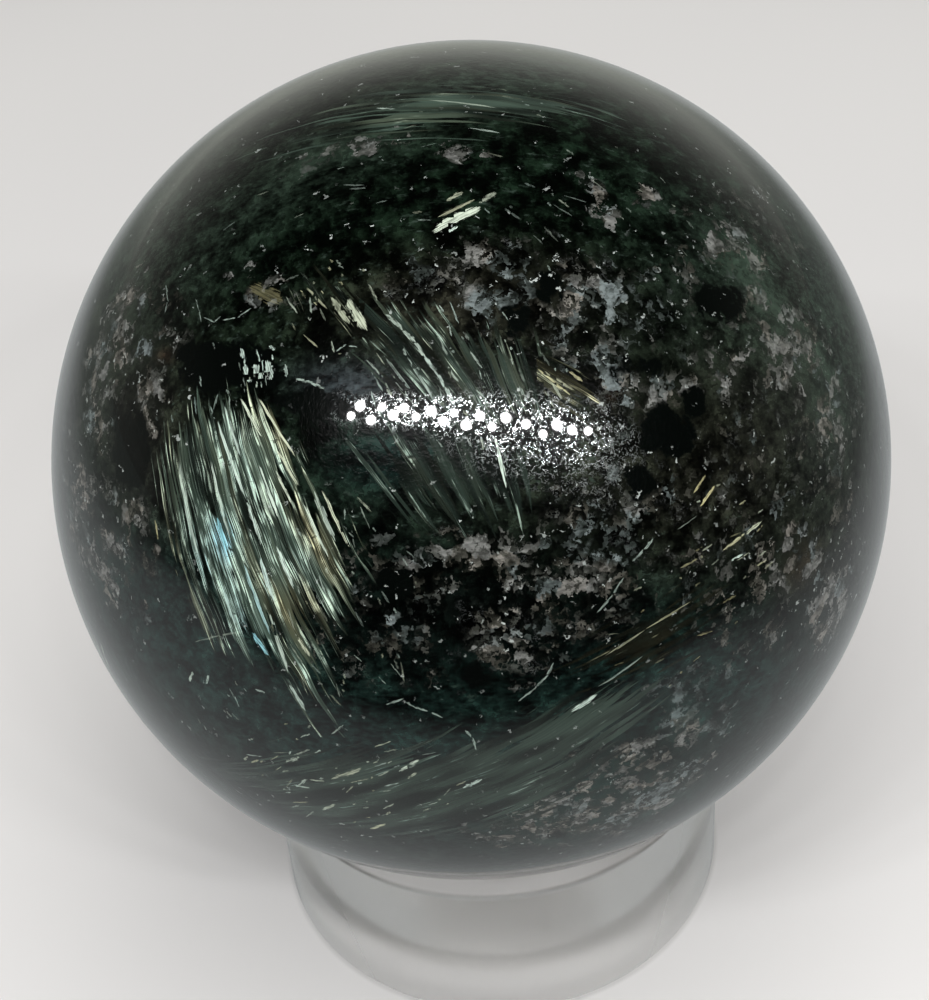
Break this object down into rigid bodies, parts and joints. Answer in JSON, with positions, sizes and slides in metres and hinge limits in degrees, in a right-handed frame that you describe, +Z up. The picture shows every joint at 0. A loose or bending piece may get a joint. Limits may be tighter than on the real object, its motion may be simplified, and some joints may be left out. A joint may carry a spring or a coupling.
{
  "type": "polished stone sphere on a ring stand",
  "caption": "Polished ball of dark green rock with fibrous golden mineral sprays, resting in a clear ring stand, for display.",
  "frame": {"origin": "centre of the ring stand's flat foot, on the surface that the part stands on", "axes": "+Z up through the centre of the ring and of the sphere; the side with the large fibre spray faces -Y"},
  "size_m": [0.058, 0.058, 0.0696],
  "materials": {
    "polished_stone": "polished, dark green to black with golden and silver fibre sprays and grey-mauve patches",
    "clear_acrylic": "clear, polished"
  },
  "bodies": {
    "root": {"stone_sphere": "polished_stone", "ring_stand": "clear_acrylic"}
  },
  "joints": []
}
